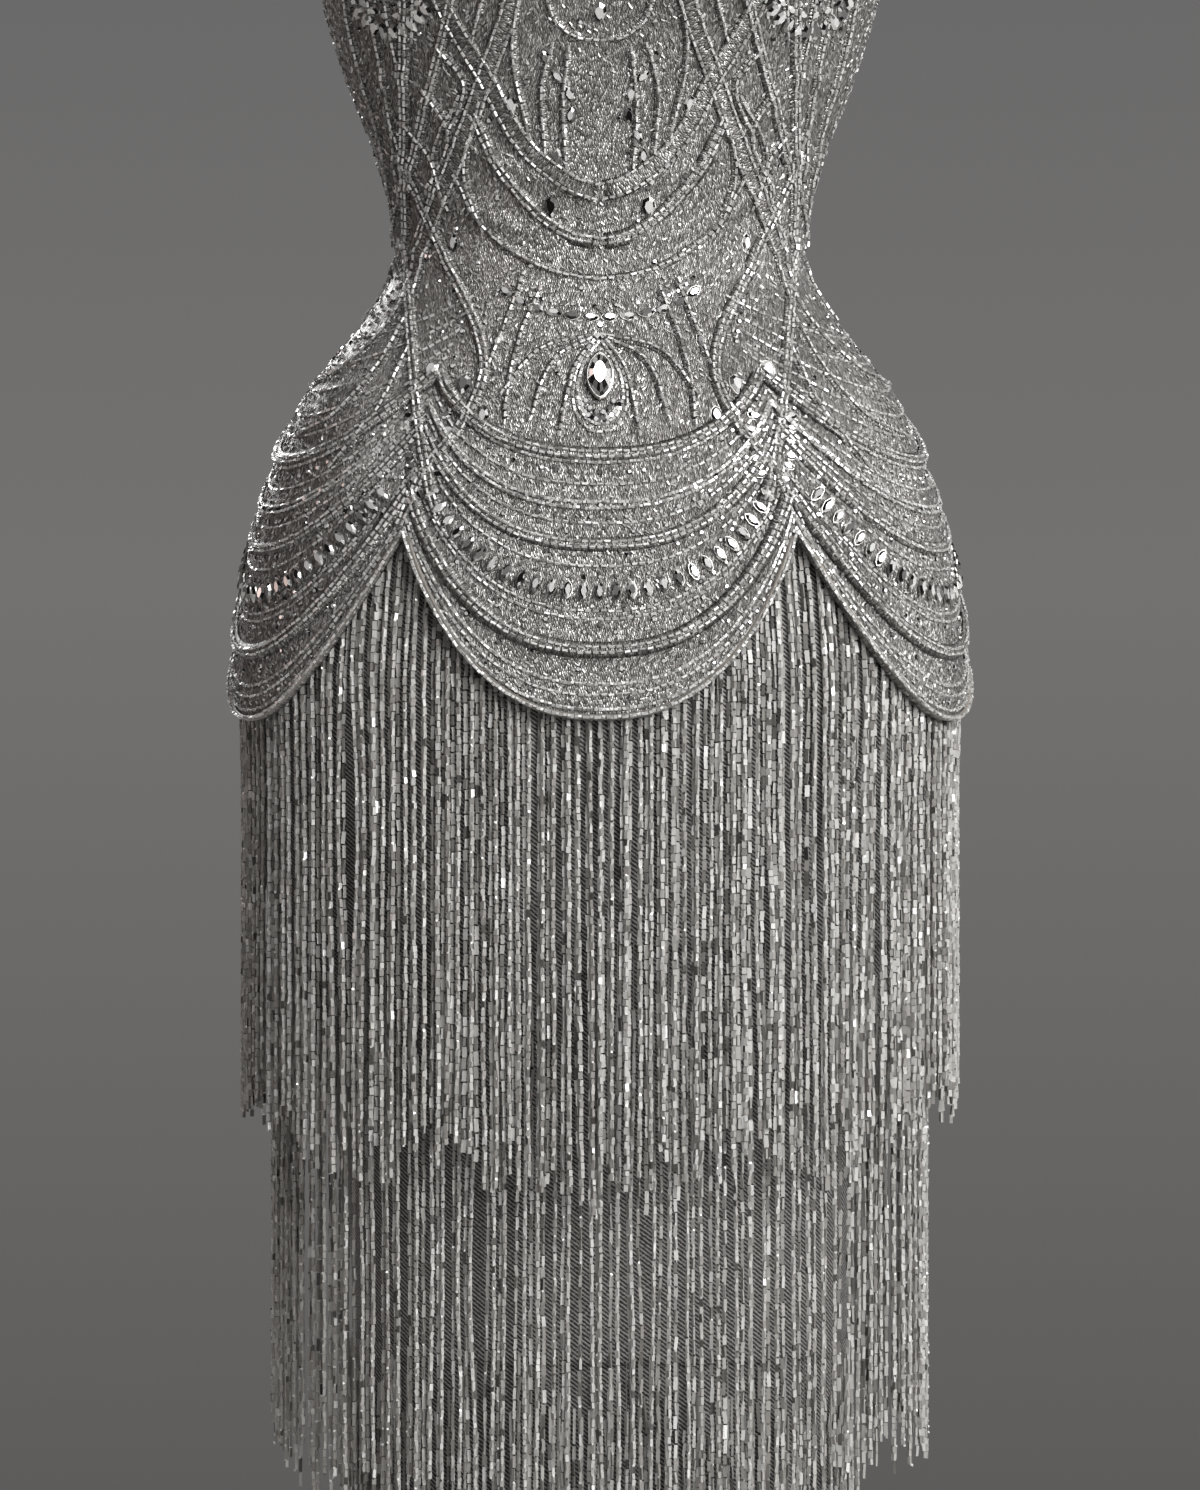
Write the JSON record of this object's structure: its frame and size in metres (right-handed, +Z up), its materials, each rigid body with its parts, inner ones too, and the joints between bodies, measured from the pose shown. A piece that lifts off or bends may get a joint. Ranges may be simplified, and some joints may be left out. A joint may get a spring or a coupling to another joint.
{
  "type": "fringe evening gown",
  "caption": "Fitted beaded gown on shoulder straps, with a scalloped hip-length tunic over a narrow skirt hung with tiers of bead fringe.",
  "frame": {"origin": "on the shoulder line, midway between the two straps, level with the underside of each strap where the wearer's shoulders carry it", "axes": "+Z up along the wearer, -Y the front, +X the wearer's left; the hem is lowest"},
  "size_m": [0.3938, 0.2873, 1.3733],
  "materials": {
    "beaded_tulle": "silver-grey tulle closely sewn with small silver-lined glass beads",
    "satin": "smooth grey satin bias roll with a soft sheen",
    "twill": "dark grey diagonal twill, matt",
    "bugle_beads": "silver-lined bugle beads strung end to end",
    "cut_glass": "foil-backed cut crystal",
    "zip_metal": "plated zinc casting"
  },
  "bodies": {
    "gown": {"middle_front": "beaded_tulle", "side_front_left": "beaded_tulle", "side_front_right": "beaded_tulle", "back_left": "beaded_tulle", "back_right": "beaded_tulle", "middle_front_piping": "satin", "side_front_left_piping": "satin", "side_front_right_piping": "satin", "back_left_piping": "satin", "back_right_piping": "satin", "strap_left": "beaded_tulle", "strap_right": "beaded_tulle", "underskirt_front": "twill", "underskirt_back": "twill", "fringe_tier_1": "bugle_beads", "fringe_tier_2": "bugle_beads", "fringe_tier_3": "bugle_beads", "zip_tape": "twill", "zip_slider": "zip_metal", "drop_stone": "cut_glass"},
    "pull_tab": {"zip_pull": "zip_metal"}
  },
  "joints": [
    {"name": "pull_tab_swing", "type": "hinge", "parent": "gown", "child": "pull_tab", "pos_m": [0, 0.0976, -0.236], "axis": [1, 0, 0], "range_deg": [0, 150]}
  ]
}
